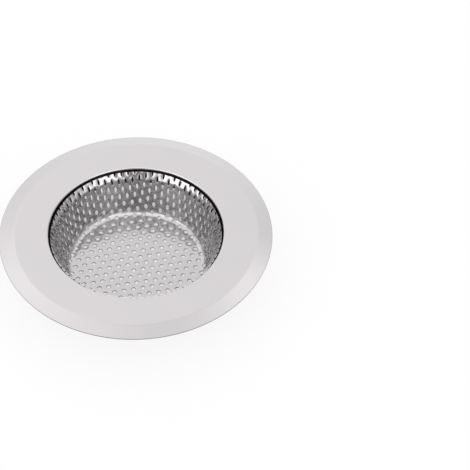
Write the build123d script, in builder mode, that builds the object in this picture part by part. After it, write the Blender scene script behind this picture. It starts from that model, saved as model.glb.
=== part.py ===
# Sink strainer: a pressed steel rim with a rolled collar, and a drawn perforated basket that hangs in it.
# Millimetres, +Z up, origin under the middle of the basket floor.
import os
from math import atan2, ceil, cos, hypot, radians, sin, sqrt, tan

from build123d import *

# Overall
overall_height = 20.9

# Rim: one disc of sheet with a flat flange, a sloped outer band, and a collar rolled back into a hem
rim_diameter = 114.3
rim_sheet = 0.45
crease_diameter = 102.0
edge_drop = 1.65
crease_bend_radius = 4.0
collar_diameter = 74.3
collar_depth = 7.6
neck_bend_radius = 0.55
roll_width = 2.3
hem_top_drop = 4.0

# Basket: one disc of perforated sheet, drawn to a cup whose flared raw edge hangs on the hem
blank_diameter = 97.6
basket_sheet = 0.45
hem_clearance = 0.35
wall_lean_degrees = 17
corner_radius = 2.7
flare_bend_radius = 1.2
raw_edge_drop = 1.35
raw_edge_gap = 0.7

# Perforation: round holes on a triangular pattern, punched in the flat sheet before it is drawn. Squeezed sheet
# gives way at its holes first, so a hole narrows by this power of what the sheet round it narrows by.
hole_pitch = 4.0
hole_diameter = 1.9
hole_closing_power = 3
pattern_turn_degrees = 13
cutter_overrun = 0.5
station_step = 0.5

# Radii and heights that follow from these
rim_radius = rim_diameter / 2
crease_radius = crease_diameter / 2
collar_radius = collar_diameter / 2
neck_radius = collar_radius - rim_sheet
roll_inner_radius = roll_width / 2 - rim_sheet
hem_radius = neck_radius - 2 * roll_inner_radius
roll_height = overall_height - collar_depth + rim_sheet + roll_inner_radius
hem_top_height = overall_height - hem_top_drop
wall_top_radius = collar_radius - roll_width - hem_clearance
wall_foot_radius = wall_top_radius - hem_top_height * tan(radians(wall_lean_degrees))
raw_edge_height = overall_height - raw_edge_drop
raw_edge_radius = neck_radius - raw_edge_gap
hole_radius = hole_diameter / 2

os.makedirs("parts", exist_ok=True)

# Rim: the upper face of the sheet from the outer edge in, down the neck, round the roll and up the hem
with BuildPart() as rim:
    with BuildSketch(Plane.XZ):
        with BuildLine():
            FilletPolyline(
                (rim_radius, overall_height - edge_drop),
                (crease_radius, overall_height),
                (neck_radius, overall_height),
                (neck_radius, roll_height),
                radius=[crease_bend_radius, neck_bend_radius],
            )
            roll = TangentArc((neck_radius, roll_height), (hem_radius, roll_height), tangent=(0, -1))
            Line(roll @ 1, (hem_radius, hem_top_height))
            offset(amount=rim_sheet, side=Side.LEFT)
        make_face()
    revolve(axis=Axis.Z)
rim.part.label = "rim"
export_step(rim.part, "parts/rim.step")

# Basket: the outer face of the sheet from the middle of the floor to the raw edge, as radius and height
with BuildLine() as cup_line:
    FilletPolyline(
        (0, 0),
        (wall_foot_radius, 0),
        (wall_top_radius, hem_top_height),
        (raw_edge_radius, raw_edge_height),
        radius=[corner_radius, flare_bend_radius],
    )
cup = cup_line.wire()
floor_radius = (cup.edges()[0] @ 1).X


# The point and the slope of the cup at a distance from its middle, running on straight past the raw edge
def cup_point(way):
    share = min(way / cup.length, 1)
    slope = cup % share
    return cup @ share + slope * (way - share * cup.length), slope


# Each distance up the cup comes from one radius of the flat blank. The floor keeps its size, and the sheet
# beyond it is gathered, more and more towards the raw edge, until the whole blank is used.
def drawn_stations():
    drawn_length = cup.length - floor_radius
    count = ceil(drawn_length / station_step)
    step = drawn_length / count
    ways = [floor_radius + station * step for station in range(count + ceil(hole_pitch / step) + 1)]
    areas = [0]
    for way in ways[1:]:
        middle, slope = cup_point(way - step / 2)
        areas.append(areas[-1] + 2 * middle.X * step)
    cup_area = areas[count]
    gathered_share = ((blank_diameter / 2) ** 2 - floor_radius**2) / cup_area - 1
    stations = [(0, 0)]
    for way, area in zip(ways, areas):
        stations.append((sqrt(floor_radius**2 + area * (1 + gathered_share * area / cup_area)), way))
    return stations


stations = drawn_stations()
blank_reach = stations[-1][0]


# The distance up the cup of a place on the blank
def drawn_way(blank_radius):
    for (near, near_way), (far, far_way) in zip(stations, stations[1:]):
        if blank_radius <= far:
            return near_way + (far_way - near_way) * (blank_radius - near) / (far - near)


# Half the width and half the height of a drawn hole, whose outline keeps its length as it narrows
def hole_halves(way, blank_radius):
    half_width = hole_radius * (cup_point(way)[0].X / blank_radius) ** hole_closing_power
    return half_width, sqrt(2 * hole_radius**2 - half_width**2)


# The plane of one drawn hole, square to the sheet and clear of its outer face
def hole_plane(way, angle):
    place, slope = cup_point(way)
    plane = Plane(
        origin=(place.X * cos(angle), place.X * sin(angle), place.Y),
        x_dir=(-sin(angle), cos(angle), 0),
        z_dir=(slope.Y * cos(angle), slope.Y * sin(angle), -slope.X),
    )
    return plane.offset(cutter_overrun)


# Holes of the flat floor stay round, and each ring of drawn holes shares one width, height and distance
floor_holes = []
drawn_rings = {}
reach = 2 * ceil(blank_reach / hole_pitch)
for row in range(-reach, reach + 1):
    for column in range(-reach, reach + 1):
        across = hole_pitch * (column + row / 2)
        along = hole_pitch * row * sqrt(3) / 2
        blank_radius = hypot(across, along)
        angle = atan2(along, across) + radians(pattern_turn_degrees)
        if blank_radius + hole_radius < floor_radius:
            floor_holes.append((blank_radius * cos(angle), blank_radius * sin(angle)))
        elif blank_radius < blank_reach:
            way = drawn_way(blank_radius)
            halves = hole_halves(way, blank_radius)
            if way - halves[1] < cup.length:
                ring = drawn_rings.setdefault(column * column + column * row + row * row, (halves, []))
                ring[1].append(hole_plane(way, angle))

with BuildPart() as basket:
    with BuildSketch(Plane.XZ):
        with BuildLine():
            add(cup_line.line)
            offset(amount=basket_sheet, side=Side.LEFT)
        make_face()
    revolve(axis=Axis.Z)
    with BuildSketch(Plane.XY.offset(-cutter_overrun)):
        with Locations(*floor_holes):
            Circle(hole_radius)
    extrude(amount=basket_sheet + 2 * cutter_overrun, mode=Mode.SUBTRACT)
    for (half_width, half_height), planes in drawn_rings.values():
        with BuildSketch(*planes):
            Ellipse(half_width, half_height)
    extrude(amount=-basket_sheet - 2 * cutter_overrun, clean=False, mode=Mode.SUBTRACT)
basket.part.label = "basket"
export_step(basket.part, "parts/basket.step", write_pcurves=False)
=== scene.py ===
import math

import bpy
import numpy as np
from mathutils import Matrix, Vector


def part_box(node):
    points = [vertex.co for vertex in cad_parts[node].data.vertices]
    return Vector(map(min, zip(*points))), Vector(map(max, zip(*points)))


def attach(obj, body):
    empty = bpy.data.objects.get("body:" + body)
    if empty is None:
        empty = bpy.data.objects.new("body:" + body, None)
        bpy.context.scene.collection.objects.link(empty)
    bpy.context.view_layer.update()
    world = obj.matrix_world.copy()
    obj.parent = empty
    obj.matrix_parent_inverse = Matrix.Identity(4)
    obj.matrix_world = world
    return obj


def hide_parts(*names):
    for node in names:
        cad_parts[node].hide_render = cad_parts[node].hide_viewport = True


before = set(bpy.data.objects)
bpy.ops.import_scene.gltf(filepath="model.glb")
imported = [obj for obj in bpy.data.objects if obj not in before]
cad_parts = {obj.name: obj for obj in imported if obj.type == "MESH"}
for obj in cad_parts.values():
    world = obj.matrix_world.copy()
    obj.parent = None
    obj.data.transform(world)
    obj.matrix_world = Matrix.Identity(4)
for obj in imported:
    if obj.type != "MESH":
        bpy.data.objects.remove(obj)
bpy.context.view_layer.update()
print("frame loaded")

mm = 0.001  # sizes below are in millimetres, as in the CAD
tiny = 1e-6  # anything shorter counts as nothing
rimLow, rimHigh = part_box("rim")
flangeTop = rimHigh.z / mm


# A section line with rounded corners. Each row is a radius, a height, and the normal on the line's right.
def roundedLine(corners, bends, arcStep=4.0, straightStep=2.5):
    corners = [np.array(corner, float) for corner in corners]
    rows = []

    def addStraight(start, end):
        length = np.linalg.norm(end - start)
        if length < tiny:
            return
        heading = (end - start) / length
        count = max(1, math.ceil(length / straightStep))
        for i in range(count + 1):
            point = start + (end - start) * i / count
            rows.append((*point, heading[1], -heading[0]))

    start = corners[0]
    for before, corner, after, bend in zip(corners, corners[1:], corners[2:], bends):
        into = (corner - before) / np.linalg.norm(corner - before)
        out = (after - corner) / np.linalg.norm(after - corner)
        turn = math.atan2(into[0] * out[1] - into[1] * out[0], into @ out)
        reach = bend * math.tan(abs(turn) / 2)
        enter = corner - into * reach
        addStraight(start, enter)
        side = math.copysign(1, turn)
        centre = enter + side * bend * np.array((-into[1], into[0]))
        count = max(2, math.ceil(math.degrees(abs(turn)) / arcStep))
        for i in range(1, count):
            c, s = math.cos(turn * i / count), math.sin(turn * i / count)
            spun = np.array((into[0] * c - into[1] * s, into[0] * s + into[1] * c))
            point = centre - side * bend * np.array((-spun[1], spun[0]))
            rows.append((*point, spun[1], -spun[0]))
        start = corner + out * reach
    addStraight(start, corners[-1])
    rows = np.array(rows)
    moved = np.linalg.norm(np.diff(rows[:, :2], axis=0), axis=1) > tiny
    return rows[np.r_[True, moved]]


# The closed outline of bent sheet: the line's own face, a rounded end, the far face and the other end.
def sheetOutline(rows, sheet, edgeRound, roundSteps=4):
    near = rows.copy()
    for end, back in ((0, 1), (-1, -1)):
        heading = np.array((-near[end, 3], near[end, 2])) * back
        near[end, :2] += heading * edgeRound
    far = near.copy()
    far[:, :2] -= near[:, 2:] * sheet
    far[:, 2:] *= -1

    def roundEnd(fromRow, toRow):
        ahead = np.array((-fromRow[3], fromRow[2]))
        made = []
        for row, leaving in ((fromRow, True), (toRow, False)):
            normal = row[2:]
            middle = row[:2] - normal * edgeRound
            for i in range(1, roundSteps + 1):
                share = i / roundSteps if leaving else 1 - (i - 1) / roundSteps
                facing = normal * math.cos(math.pi / 2 * share) + ahead * math.sin(math.pi / 2 * share)
                made.append((*(middle + facing * edgeRound), *facing))
        return made

    outline = [*near, *roundEnd(near[-1], far[-1]), *far[::-1], *roundEnd(far[0], near[0])]
    return np.array([tuple(row) for row in outline])


# A smooth mesh with its own normals. Only the faces in flatFaces keep their flat look.
def meshObject(name, coords, faces, normals, flatFaces=()):
    mesh = bpy.data.meshes.new(name)
    mesh.from_pydata([tuple(c) for c in coords * mm], [], faces)
    mesh.polygons.foreach_set("use_smooth", [True] * len(faces))
    mesh.update()
    cornerNormals = normals[[v for face in faces for v in face]]
    for i in flatFaces:
        polygon = mesh.polygons[i]
        cornerNormals[polygon.loop_start:polygon.loop_start + polygon.loop_total] = polygon.normal
    mesh.normals_split_custom_set([tuple(n) for n in cornerNormals])
    made = bpy.data.objects.new(name, mesh)
    bpy.context.scene.collection.objects.link(made)
    return made


def lathe(name, outline, turns):
    angles = np.arange(turns) * 2 * math.pi / turns
    c, s = np.cos(angles)[:, None], np.sin(angles)[:, None]
    radius, height, outward, upward = outline.T
    coords = np.stack([c * radius, s * radius, height + 0 * c], axis=2).reshape(-1, 3)
    normals = np.stack([c * outward, s * outward, upward + 0 * c], axis=2).reshape(-1, 3)
    n = len(outline)
    faces = []
    for here in range(turns):
        there = (here + 1) % turns
        for i in range(n):
            j = (i + 1) % n
            faces.append((here * n + i, there * n + i, there * n + j, here * n + j))
    return meshObject(name, coords, faces, normals)


# Rim: a flange with a soft crease, a neck, and a roll that turns up inside the neck as a hem
rimSize = {
    "sheet": 0.45,
    "creaseRadius": 51.0,
    "creaseBend": 4.0,
    "edgeDrop": 1.65,
    "neckRadius": 36.7,
    "neckBend": 0.55,
    "hemRadius": 35.3,
    "hemTopDrop": 4.0,
    "edgeRound": 0.1,
    "turns": 480,
}


def makeRim(size):
    rollBend = (size["neckRadius"] - size["hemRadius"]) / 2
    rollFloor = rimLow.z / mm + size["sheet"]
    line = roundedLine(
        [
            (rimHigh.x / mm, flangeTop - size["edgeDrop"]),
            (size["creaseRadius"], flangeTop),
            (size["neckRadius"], flangeTop),
            (size["neckRadius"], rollFloor),
            (size["hemRadius"], rollFloor),
            (size["hemRadius"], flangeTop - size["hemTopDrop"]),
        ],
        [size["creaseBend"], size["neckBend"], rollBend, rollBend],
    )
    outline = sheetOutline(line, size["sheet"], size["edgeRound"])
    return lathe("polishedRim", outline, size["turns"])


# Basket: a flat perforated blank, mapped onto the cup that it is drawn to
basketSize = {
    "sheet": 0.45,
    "wallTopRadius": 34.5,
    "wallLean": math.radians(17),
    "cornerBend": 2.7,
    "flareBend": 1.2,
    "rawEdgeDrop": 1.35,
    "rawEdgeRadius": 36.0,
    "arcStep": 0.5,
    "straightStep": 0.2,
    "blankRadius": 48.8,
    "holePitch": 4.0,
    "holeRadius": 0.95,
    "closingPower": 3,
    "patternTurn": math.radians(13),
    "holeSides": 24,
    "punchRound": 0.15,
    "dip": 0.05,
    "dipTilt": 0.25,
    "dipSpread": 1.25,
    "edgeSnap": 1e-4,
    "weldGrid": 2000,  # places to a millimetre where points meet
}


# The outer face of the cup, the distance up it, and the radius of the flat blank that each row comes from.
# The floor keeps its size, and the sheet beyond it is gathered more and more towards the raw edge.
def drawnLine(size):
    wallTop = flangeTop - rimSize["hemTopDrop"]
    foot = size["wallTopRadius"] - wallTop * math.tan(size["wallLean"])
    line = roundedLine(
        [
            (0, 0),
            (foot, 0),
            (size["wallTopRadius"], wallTop),
            (size["rawEdgeRadius"], flangeTop - size["rawEdgeDrop"]),
        ],
        [size["cornerBend"], size["flareBend"]],
        size["arcStep"],
        size["straightStep"],
    )
    steps = np.linalg.norm(np.diff(line[:, :2], axis=0), axis=1)
    way = np.r_[0, np.cumsum(steps)]
    area = np.r_[0, np.cumsum((line[1:, 0] + line[:-1, 0]) * steps)]
    floorRadius = line[line[:, 1] < tiny, 0].max()
    drawn = np.maximum(area - floorRadius ** 2, 0)
    gathered = (size["blankRadius"] ** 2 - area[-1]) * (drawn / drawn[-1]) ** 2
    return line, way, np.sqrt(area + gathered)


def lengthOf(vectors):
    return np.linalg.norm(vectors, axis=-1)


# The points of the flat blank. Each hole has a six-sided cell of sheet, made of rings from its border in.
def punchedBlank(size, line, way, blank):
    pitch, sides, rounding = size["holePitch"], size["holeSides"], size["punchRound"]
    rawEdge = size["blankRadius"]
    turns = np.radians(np.arange(7) * 60 - 30)
    corner = np.stack([np.cos(turns), np.sin(turns)], 1) * pitch / math.sqrt(3)
    perSide = sides // 6

    def borderPoint(k):
        share = k % perSide / perSide
        return corner[k // perSide] * (1 - share) + corner[k // perSide + 1] * share

    border = np.array([borderPoint(k) for k in range(sides)])
    away = border / lengthOf(border)[:, None]
    reach = 2 * (math.ceil(rawEdge / pitch) + 2)
    rowHeight = pitch * math.sqrt(3) / 2
    grid = [(pitch * (i + j / 2), rowHeight * j)
            for j in range(-reach, reach + 1) for i in range(-reach, reach + 1)]
    centres = np.array([c for c in grid if math.hypot(*c) < rawEdge + pitch / math.sqrt(3)])

    # each hole's closing, along and across the draw; the map onto the cup then squeezes it once more
    centreAngle = np.arctan2(centres[:, 1], centres[:, 0])
    drawnOut = np.stack([np.cos(centreAngle), np.sin(centreAngle)], 1)[:, None, :]
    drawnAcross = drawnOut[..., ::-1] * (-1, 1)
    centreReach = np.clip(lengthOf(centres), blank[1], rawEdge)
    squeeze = np.interp(centreReach, blank, line[:, 0]) / centreReach
    closed = squeeze ** size["closingPower"]
    stretch = np.sqrt(2 - closed ** 2) / np.interp(centreReach, blank, np.gradient(way, blank))
    stretch, closing = stretch[:, None, None], (closed / squeeze)[:, None, None]

    alongDraw, acrossDraw = [(away * axis).sum(2, keepdims=True) for axis in (drawnOut, drawnAcross)]
    holeEdge = drawnOut * alongDraw * stretch + drawnAcross * acrossDraw * closing
    holeEdge *= size["holeRadius"]
    holeAway = drawnOut * alongDraw / stretch + drawnAcross * acrossDraw / closing
    holeAway /= lengthOf(holeAway)[..., None]
    border = np.broadcast_to(border, holeEdge.shape)
    outerEdge = holeEdge + holeAway * rounding

    # the sheet dips a little towards each hole, and more so where the draw has closed it
    dip = size["dip"] * (size["dipSpread"] - closed)[:, None]
    tilt = size["dipTilt"] * (size["dipSpread"] - closed)[:, None]
    half = math.sqrt(0.5)  # the rounding's middle faces halfway to the hole
    rings = [  # points, depth into the sheet, share of the normal that faces the hole
        (border, 0, 0),
        ((border + outerEdge) / 2, dip / 4, tilt / 2),
        (outerEdge, dip, tilt),
        (holeEdge + holeAway * rounding * (1 - half), dip * half + rounding * (1 - half), half),
        (holeEdge, rounding, 1),
    ]
    shape = (len(centres), sides)
    flat = np.stack([centres[:, None, :] + ring[0] for ring in rings], 1)
    depth = np.stack([np.broadcast_to(ring[1], shape) for ring in rings], 1)
    lean = np.stack([np.broadcast_to(ring[2], shape) for ring in rings], 1)
    toHole = np.stack([-holeAway] * len(rings), 1)

    # the raw edge cuts through the holes there
    flatRadius = lengthOf(flat)
    onEdge = flatRadius > rawEdge - size["edgeSnap"]
    flat = np.where(onEdge[..., None], flat * (rawEdge / np.maximum(flatRadius, tiny))[..., None], flat)

    meeting = np.concatenate([flat, depth[..., None]], 3).reshape(-1, 3) * size["weldGrid"]
    _, first, weld = np.unique(np.round(meeting).astype(np.int64), axis=0,
                               return_index=True, return_inverse=True)
    points = {
        "flat": flat.reshape(-1, 2)[first],
        "depth": depth.reshape(-1)[first],
        "lean": lean.reshape(-1)[first],
        "toHole": toHole.reshape(-1, 2)[first],
        "onEdge": onEdge.reshape(-1)[first],
    }
    return points, weld.reshape(flat.shape[:3])


# The quads of one face of the sheet, and the edges with a wall through it: round the holes, and at the cut.
def blankFaces(weld, onEdge):
    ahead = np.roll(weld, -1, axis=2)
    quads = np.stack([weld[:, :-1], weld[:, 1:], ahead[:, 1:], ahead[:, :-1]], 3).reshape(-1, 4)
    rims = np.stack([weld[:, -1], ahead[:, -1]], 2).reshape(-1, 2)
    skin = []
    for quad in quads.tolist():
        kept = [v for i, v in enumerate(quad) if v != quad[i - 1]]
        if len(kept) > 2 and len(set(kept)) == len(kept) and not all(onEdge[v] for v in kept):
            skin.append(kept)
    holeEdges = [(a, b) for a, b in rims.tolist() if a != b and not (onEdge[a] and onEdge[b])]
    used = dict.fromkeys((a, b) for face in skin for a, b in zip(face, face[1:] + face[:1]))
    cutEdges = [(a, b) for a, b in used if (b, a) not in used and onEdge[a] and onEdge[b]]
    return skin, holeEdges, cutEdges


def makeBasket(size):
    line, way, blank = drawnLine(size)
    points, weld = punchedBlank(size, line, way, blank)
    skin, holeEdges, cutEdges = blankFaces(weld, points["onEdge"])

    # each point's place on the cup, and the heading from there to its hole
    flat = points["flat"]
    toHole = points["toHole"]
    flatRadius = lengthOf(flat)
    angle = np.arctan2(flat[:, 1], flat[:, 0])
    radius, height, outward, upward = (np.interp(flatRadius, blank, column) for column in line.T)
    taller = np.interp(flatRadius, blank, np.gradient(way, blank))
    narrower = np.where(flatRadius > tiny, radius / np.maximum(flatRadius, tiny), 1)
    upCup = (toHole[:, 0] * np.cos(angle) + toHole[:, 1] * np.sin(angle)) / taller
    roundCup = (toHole[:, 1] * np.cos(angle) - toHole[:, 0] * np.sin(angle)) / narrower
    both = np.hypot(upCup, roundCup)

    turned = angle + size["patternTurn"]
    c, s = np.cos(turned), np.sin(turned)
    out = np.stack([c, s, 0 * c], 1)
    across = np.stack([-s, c, 0 * c], 1)
    up = np.array([0, 0, 1.0])
    place = out * radius[:, None] + up * height[:, None]
    normal = out * outward[:, None] + up * upward[:, None]
    along = out * -upward[:, None] + up * outward[:, None]
    hollow = along * (upCup / both)[:, None] + across * (roundCup / both)[:, None]

    # both faces of the sheet, then the walls between them
    depth, lean = points["depth"], points["lean"]
    coords, normals = [], []
    for side, into in ((1, depth), (-1, size["sheet"] - depth)):
        coords.append(place - normal * into[:, None])
        facing = normal * side * np.sqrt(1 - lean ** 2)[:, None] + hollow * lean[:, None]
        normals.append(facing / lengthOf(facing)[:, None])
    count = len(flat)
    faces = [tuple(face) for face in skin] + [tuple(v + count for v in face[::-1]) for face in skin]
    faces += [(a, b, b + count, a + count) for a, b in holeEdges]
    cutStart = len(faces)
    faces += [(b, a, a + count, b + count) for a, b in cutEdges]
    print("basket", len(weld), "cells", count * 2, "points", len(faces), "faces")
    return meshObject("perforatedBasket", np.concatenate(coords), faces, np.concatenate(normals),
                      range(cutStart, len(faces)))


rim = makeRim(rimSize)
basket = makeBasket(basketSize)
print("metal made")


# Stainless steel: buffing rings on the rim, draw marks up the basket, cloudy polish, and duller, darker
# bands, partly painted shade.
# A dull and shaded band is its inner and outer radius, its bottom and top, how soft its ends are, and the
# colour left there, in millimetres. A painted highlight is a place where the band is cleared: its azimuth
# and height, and how far it spreads in both.
rimSteel = {
    "colour": (0.69, 0.665, 0.672, 1),
    "roughness": (0.04, 0.1),
    "waveScale": 26,
    "waveHeight": 0.010,
    "dullWave": 0,
    "grain": (14000, 4),
    "grainHeight": 0.0001,
    "dullAndShadedBands": [
        (34.6, 36.95, 0, flangeTop - 0.68, 0.1, 0.1),  # inside the neck: painted shade, nearly black, and rougher
        (57.02, 60, 0, flangeTop, 0.05, 0.3),  # the cut edge of the flange
    ],
    "dullMottle": 0,
    "paintedHighlights": [],
    "dullRoughness": 0.45,
    "anisotropy": 0,
}
basketSteel = {
    "colour": (0.6, 0.585, 0.59, 1),
    "roughness": (0.07, 0.17),
    "waveScale": 300,
    "waveHeight": 0.02,
    "dullWave": 10,
    "grain": (160, 120),
    "grainHeight": 0.0016,
    "dullAndShadedBands": [
        (20, 40, 2.6, 16.8, 0.8, 0.62),  # the drawn wall: duller from the draw, and darker as painted shade
    ],
    "dullMottle": 0.9,
    # painted highlights: patches on the wall where the painted shade and dullness are cleared
    "paintedHighlights": [(111, 12.5, 12, 4.5), (64, 12.5, 15, 4.5), (-66, 12, 13, 4), (-117, 12.5, 15, 4.5)],
    "dullRoughness": 0.55,
    "anisotropy": 0.6,
}
bothSteels = {
    "anisotropyTurn": 0.25,
    "toneScale": 2,  # of the wave scale
    "toneDetail": 4,
    "toneShare": 0.04,
    "mottleRange": (0.4, 0.6),
    "cloudScale": 5,  # of the wave scale
    "cloudDetail": 6,
    "cloudRange": (0.3, 0.75),
    "waveDetail": 1.5,
    "grainDetail": 3,
    "grainUp": 40,
}


# Each of these adds a node and gives the socket that carries its result.
def addMath(nodes, links, operation, *values):
    node = nodes.new("ShaderNodeMath")
    node.operation = operation
    for socket, value in zip(node.inputs, values):
        if hasattr(value, "default_value"):
            links.new(value, socket)
        else:
            socket.default_value = value
    return node.outputs[0]


def addRange(nodes, links, value, fromEnds, toEnds=(0, 1), shape="LINEAR"):
    node = nodes.new("ShaderNodeMapRange")
    node.interpolation_type = shape
    for name, end in zip(("From Min", "From Max", "To Min", "To Max"), (*fromEnds, *toEnds)):
        node.inputs[name].default_value = end
    links.new(value, node.inputs["Value"])
    return node.outputs["Result"]


def addNoise(nodes, links, place, scale, detail):
    node = nodes.new("ShaderNodeTexNoise")
    node.inputs["Scale"].default_value = scale
    node.inputs["Detail"].default_value = detail
    links.new(place, node.inputs["Vector"])
    return node.outputs["Fac"]


def steelMaterial(name, look, shared):
    material = bpy.data.materials.new(name)
    material.use_nodes = True
    nodes, links = material.node_tree.nodes, material.node_tree.links
    metal = nodes["Principled BSDF"]
    metal.inputs["Metallic"].default_value = 1
    metal.inputs["Anisotropic"].default_value = look["anisotropy"]
    metal.inputs["Anisotropic Rotation"].default_value = shared["anisotropyTurn"]
    around = nodes.new("ShaderNodeTangent")
    around.direction_type = "RADIAL"
    around.axis = "Z"
    links.new(around.outputs[0], metal.inputs["Tangent"])

    def reckon(operation, *values):
        return addMath(nodes, links, operation, *values)

    place = nodes.new("ShaderNodeTexCoord").outputs["Object"]
    split = nodes.new("ShaderNodeSeparateXYZ")
    links.new(place, split.inputs[0])
    x, y, z = split.outputs
    radius = reckon("SQRT", reckon("ADD", reckon("MULTIPLY", x, x), reckon("MULTIPLY", y, y)))
    turn = reckon("ARCTAN2", y, x)

    # how dull each place is, with its painted shade, cleared at the painted highlights
    dullAndShade = 0.0
    for inner, outer, low, high, soft, left in look["dullAndShadedBands"]:
        inside = 1.0
        for value, edge, side in ((radius, inner, 1), (radius, outer, -1), (z, low, 1), (z, high, -1)):
            ends = ((edge - side * soft) * mm, (edge + side * soft) * mm)
            inside = reckon("MULTIPLY", inside, addRange(nodes, links, value, ends, shape="SMOOTHSTEP"))
        dullAndShade = reckon("MAXIMUM", dullAndShade, reckon("MULTIPLY", inside, 1 - left))
    # painted highlight: the band's darkening and roughness fade out towards each middle
    for azimuth, middle, wide, tall in look["paintedHighlights"]:
        aside = reckon("MULTIPLY", reckon("SUBTRACT", turn, math.radians(azimuth)), 1 / math.radians(wide))
        above = reckon("MULTIPLY", reckon("SUBTRACT", z, middle * mm), 1 / (tall * mm))
        apart = reckon("ADD", reckon("MULTIPLY", aside, aside), reckon("MULTIPLY", above, above))
        awayFromHighlight = reckon("SUBTRACT", 1, reckon("EXPONENT", reckon("MULTIPLY", apart, -1)))
        dullAndShade = reckon("MULTIPLY", dullAndShade, awayFromHighlight)
    tone = addNoise(nodes, links, place, look["waveScale"] * shared["toneScale"], shared["toneDetail"])
    mottle = look["dullMottle"]
    patch = addRange(nodes, links, tone, shared["mottleRange"], (1 - mottle, 1 + mottle / 2))
    dullAndShade = reckon("MULTIPLY", dullAndShade, patch)

    colour = nodes.new("ShaderNodeMix")
    colour.data_type = "RGBA"
    colour.inputs["A"].default_value = look["colour"]
    colour.inputs["B"].default_value = (0, 0, 0, 1)
    darker = reckon("MAXIMUM", dullAndShade, reckon("MULTIPLY", tone, shared["toneShare"]))
    links.new(darker, colour.inputs["Factor"])
    links.new(colour.outputs["Result"], metal.inputs["Base Color"])

    cloud = addNoise(nodes, links, place, look["waveScale"] * shared["cloudScale"], shared["cloudDetail"])
    polish = addRange(nodes, links, cloud, shared["cloudRange"], look["roughness"])
    rough = reckon("MAXIMUM", polish, reckon("MULTIPLY", dullAndShade, look["dullRoughness"]))
    links.new(rough, metal.inputs["Roughness"])

    wave = addNoise(nodes, links, place, look["waveScale"], shared["waveDetail"])
    across, along = look["grain"]
    drawn = nodes.new("ShaderNodeCombineXYZ")
    for socket, value, scale in zip(drawn.inputs, (radius, turn, z), (across, along, shared["grainUp"])):
        links.new(reckon("MULTIPLY", value, scale), socket)
    grain = addNoise(nodes, links, drawn.outputs[0], 1, shared["grainDetail"])
    swell = reckon("MULTIPLY", reckon("MULTIPLY_ADD", dullAndShade, look["dullWave"], 1), look["waveHeight"])
    height = reckon("ADD", reckon("MULTIPLY", wave, swell), reckon("MULTIPLY", grain, look["grainHeight"]))
    bump = nodes.new("ShaderNodeBump")
    bump.inputs["Strength"].default_value = 1
    bump.inputs["Distance"].default_value = mm
    links.new(height, bump.inputs["Height"])
    links.new(bump.outputs["Normal"], metal.inputs["Normal"])
    return material


rim.data.materials.append(steelMaterial("rimSteel", rimSteel, bothSteels))
basket.data.materials.append(steelMaterial("basketSteel", basketSteel, bothSteels))
for piece, node, slot in ((rim, "rim", "polished_steel"), (basket, "basket", "perforated_steel")):
    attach(piece, "root")
    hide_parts(node)
print("steel finished")


# Studio: white paper in a white tent whose walls are lit unevenly. A shadow is a round place where the paper
# glows less: the y of its middle, its inner and outer radius, and the glow left. A soft area is its azimuth
# and elevation, its extra light, and how far it spreads in degrees.
studio = {
    "floorSize": 6.0,
    "floorGap": 0.05,
    "floorColour": (0.9, 0.9, 0.9, 1),
    "floorRoughness": 0.9,
    "floorGlow": 0.85,
    "shadows": [(0, 27, 36, 0), (11, 42, 48, 0.4)],
    "tentStrength": 0.95,
    "tentLeast": 0.05,
    "softAreas": [
        (-142, 10, 1.3, 17),
        (-100, 62, 0.5, 22),
        (-52, 12, 1.3, 10),
        (-30, 44, 0.4, 15),
        (90, 18, 0.12, 14),
        (128, 52, 0.25, 13),
        (46, 54, 0.25, 10),
        (42, 31, -0.4, 9),
        (80, 74, -0.15, 10),
        (-90, 16, -0.75, 15),
        (20, 10, -0.4, 18),
        (170, 4, -0.3, 16),
    ],
}


def makeFloor(look):
    half = look["floorSize"] / 2
    z = -look["floorGap"] * mm
    mesh = bpy.data.meshes.new("studioFloor")
    corners = [(-half, -half, z), (half, -half, z), (half, half, z), (-half, half, z)]
    mesh.from_pydata(corners, [], [(0, 1, 2, 3)])
    floor = bpy.data.objects.new("studioFloor", mesh)
    bpy.context.scene.collection.objects.link(floor)
    material = bpy.data.materials.new("floorPaper")
    material.use_nodes = True
    nodes, links = material.node_tree.nodes, material.node_tree.links
    paper = nodes["Principled BSDF"]
    paper.inputs["Base Color"].default_value = look["floorColour"]
    paper.inputs["Roughness"].default_value = look["floorRoughness"]
    glow = nodes.new("ShaderNodeEmission")

    rays = nodes.new("ShaderNodeLightPath").outputs
    seen = addMath(nodes, links, "MAXIMUM", rays["Is Camera Ray"], rays["Is Glossy Ray"])
    seen = addMath(nodes, links, "MAXIMUM", seen, rays["Is Transmission Ray"])
    share = addMath(nodes, links, "MULTIPLY", seen, look["floorGlow"])
    place = nodes.new("ShaderNodeTexCoord").outputs["Object"]
    for middle, inner, outer, left in look["shadows"]:
        apart = nodes.new("ShaderNodeVectorMath")
        apart.operation = "DISTANCE"
        apart.inputs[1].default_value = (0, middle * mm, z)
        links.new(place, apart.inputs[0])
        clear = addRange(nodes, links, apart.outputs["Value"], (inner * mm, outer * mm), (left, 1))
        share = addMath(nodes, links, "MULTIPLY", share, clear)

    def addMix(factor, first, second):
        mix = nodes.new("ShaderNodeMixShader")
        for socket, source in zip(mix.inputs, (factor, first.outputs[0], second.outputs[0])):
            links.new(source, socket)
        return mix

    # from below the paper is clear, so that the underside shows
    lit = addMix(share, paper, glow)
    below = nodes.new("ShaderNodeNewGeometry").outputs["Backfacing"]
    surface = addMix(below, lit, nodes.new("ShaderNodeBsdfTransparent"))
    links.new(surface.outputs[0], nodes["Material Output"].inputs["Surface"])
    mesh.materials.append(material)


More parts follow.
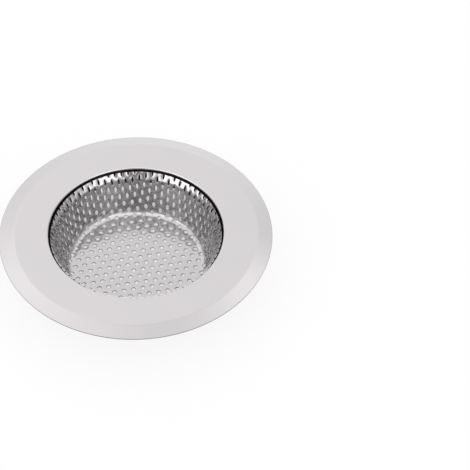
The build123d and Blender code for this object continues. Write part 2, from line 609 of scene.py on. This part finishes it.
def makeTent(look):
    world = bpy.data.worlds.new("tent")
    bpy.context.scene.world = world
    world.use_nodes = True
    nodes, links = world.node_tree.nodes, world.node_tree.links
    heading = nodes.new("ShaderNodeTexCoord").outputs["Generated"]
    strength = look["tentStrength"]
    for azimuth, elevation, extra, spread in look["softAreas"]:
        a, e = math.radians(azimuth), math.radians(elevation)
        tight = 1 / math.radians(spread) ** 2
        near = nodes.new("ShaderNodeVectorMath")
        near.operation = "DOT_PRODUCT"
        near.inputs[1].default_value = (math.cos(a) * math.cos(e), math.sin(a) * math.cos(e), math.sin(e))
        links.new(heading, near.inputs[0])
        fade = addMath(nodes, links, "MULTIPLY_ADD", near.outputs["Value"], tight, -tight)
        fade = addMath(nodes, links, "EXPONENT", fade)
        strength = addMath(nodes, links, "MULTIPLY_ADD", fade, extra, strength)

    # the camera sees plain white behind the part
    seen = nodes.new("ShaderNodeMix")
    links.new(nodes.new("ShaderNodeLightPath").outputs["Is Camera Ray"], seen.inputs["Factor"])
    links.new(addMath(nodes, links, "MAXIMUM", strength, look["tentLeast"]), seen.inputs["A"])
    seen.inputs["B"].default_value = 1
    links.new(seen.outputs["Result"], nodes["Background"].inputs["Strength"])
    nodes["Background"].inputs["Color"].default_value = (1, 1, 1, 1)


makeFloor(studio)
makeTent(studio)
print("studio lit")


# Camera: it looks down at a point of the flange's plane, from the front
shot = {
    "distance": 835,
    "elevation": math.radians(47.71),
    "roll": math.radians(1.12),
    "aimX": 41.46,
    "aimY": -1.18,
    "lens": 153.04,
    "sensorWidth": 36,
    "clipStart": 0.01,
}


def makeCamera(look):
    e = look["elevation"]
    right = Vector((1, 0, 0))
    up = Vector((0, math.sin(e), math.cos(e)))
    back = Vector((0, -math.cos(e), math.sin(e)))
    c, s = math.cos(look["roll"]), math.sin(look["roll"])
    turned = Matrix((right * c + up * s, up * c - right * s, back)).transposed()
    camera = bpy.data.objects.new("shot", bpy.data.cameras.new("shot"))
    camera.data.lens = look["lens"]
    camera.data.sensor_width = look["sensorWidth"]
    camera.data.clip_start = look["clipStart"]
    camera.rotation_mode = "QUATERNION"
    camera.rotation_quaternion = turned.to_quaternion()
    camera.location = (Vector((look["aimX"], look["aimY"], flangeTop)) + back * look["distance"]) * mm
    bpy.context.scene.collection.objects.link(camera)
    bpy.context.scene.camera = camera


makeCamera(shot)
bpy.context.scene.view_settings.view_transform = "Standard"
print("camera set")
